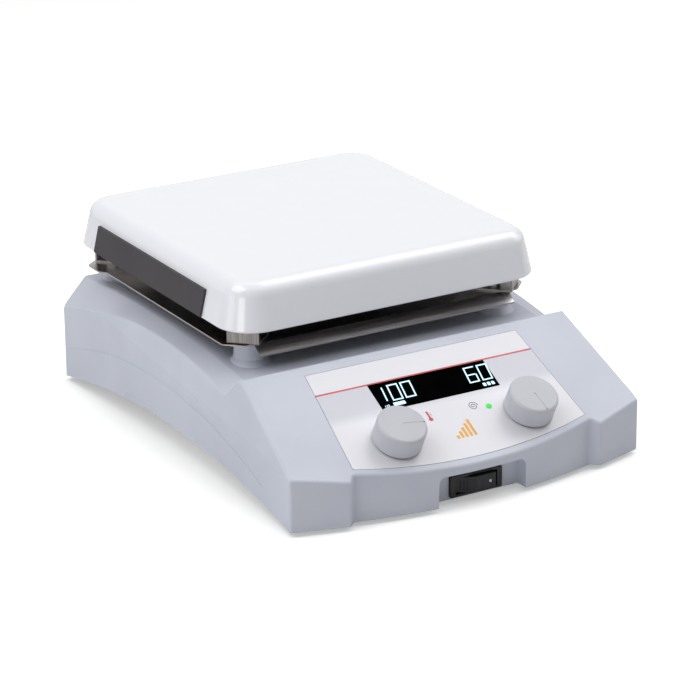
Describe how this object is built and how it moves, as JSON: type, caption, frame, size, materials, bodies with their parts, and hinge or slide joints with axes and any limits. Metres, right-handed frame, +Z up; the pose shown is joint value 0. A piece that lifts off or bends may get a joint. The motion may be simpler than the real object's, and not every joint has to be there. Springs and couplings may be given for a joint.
{
  "type": "hotplate magnetic stirrer",
  "caption": "Square-topped hotplate stirrer with a sloping control face, two push knobs, a display and a rocker switch.",
  "frame": {"origin": "on the table under the middle of the part's bounding box", "axes": "+X to the right seen from the control face, +Y from the control face to the rear, +Z up"},
  "size_m": [0.221, 0.2892, 0.1101],
  "materials": {
    "housing": "satin light grey",
    "overlay": "satin printed film",
    "window": "gloss black",
    "knob": "matte light grey",
    "black_plastic": "matte black",
    "lens": "gloss green",
    "enamel": "gloss white glaze",
    "dark_strip": "satin dark",
    "steel": "brushed",
    "stove_paint": "matte black, heat proof",
    "zinc": "zinc plated",
    "rubber": "matte black",
    "board": "green laminate",
    "grey_plastic": "matte grey",
    "copper_core": "laminated",
    "aluminium": "mill finish",
    "brass": "plain",
    "magnet": "nickel plated",
    "wool": "matte fibre"
  },
  "bodies": {
    "housing": {"housing_shell": "housing", "base_plate": "steel", "base_screws": "zinc", "control_overlay": "overlay", "display_window": "window", "display_module": "black_plastic", "status_light": "lens", "control_board": "board", "encoder_nuts": "zinc", "switch_frame": "black_plastic", "switch_terminals": "brass", "power_inlet": "black_plastic", "inlet_pins": "brass", "top_plate": "enamel", "side_strip": "dark_strip", "heater_coil": "steel", "insulation_pad": "wool", "heater_pan": "stove_paint", "temperature_probe": "steel", "plate_studs": "zinc", "plate_nuts": "zinc", "bracket_screws": "zinc", "heat_shield": "steel", "motor_bracket": "steel", "motor_screws": "zinc", "motor_can": "aluminium", "motor_bearings": "steel", "motor_stator": "copper_core", "power_board": "board", "board_standoffs": "brass", "transformer": "copper_core", "capacitors": "black_plastic", "heatsink": "aluminium", "relay": "grey_plastic", "temp_encoder": "grey_plastic", "speed_encoder": "grey_plastic", "front_left_bracket": "steel", "front_left_foot": "rubber", "front_right_bracket": "steel", "front_right_foot": "rubber", "rear_left_bracket": "steel", "rear_left_foot": "rubber", "rear_right_bracket": "steel", "rear_right_foot": "rubber"},
    "temp_turner": {"temp_rotor": "grey_plastic"},
    "temp_button": {"temp_shaft": "steel", "temp_knob": "knob"},
    "speed_turner": {"speed_rotor": "grey_plastic"},
    "speed_button": {"speed_shaft": "steel", "speed_knob": "knob"},
    "rocker": {"switch_rocker": "black_plastic"},
    "stir_drive": {"motor_rotor": "steel", "motor_shaft": "steel", "magnet_carrier": "grey_plastic", "magnets": "magnet"}
  },
  "joints": [
    {"name": "temp_knob_turn", "type": "hinge", "parent": "housing", "child": "temp_turner", "pos_m": [-0.04, -0.12098, 0.03673], "axis": [0, -0.4626, 0.8866], "continuous": true},
    {"name": "temp_knob_push", "type": "slide", "parent": "temp_turner", "child": "temp_button", "axis": [0, 0.4626, -0.8866], "range_m": [0, 0.0007], "stiffness_N_per_m": 3000, "springref_m": -0.0004},
    {"name": "speed_knob_turn", "type": "hinge", "parent": "housing", "child": "speed_turner", "pos_m": [0.0434, -0.12098, 0.03673], "axis": [0, -0.4626, 0.8866], "continuous": true},
    {"name": "speed_knob_push", "type": "slide", "parent": "speed_turner", "child": "speed_button", "axis": [0, 0.4626, -0.8866], "range_m": [0, 0.0007], "stiffness_N_per_m": 3000, "springref_m": -0.0004},
    {"name": "rocker_tilt", "type": "hinge", "parent": "housing", "child": "rocker", "pos_m": [0, -0.13215, 0.0097], "axis": [0, 0, 1], "range_deg": [0, 20]},
    {"name": "stirrer_spin", "type": "hinge", "parent": "housing", "child": "stir_drive", "pos_m": [0, 0.04515, 0.0525], "axis": [0, 0, 1], "continuous": true}
  ]
}
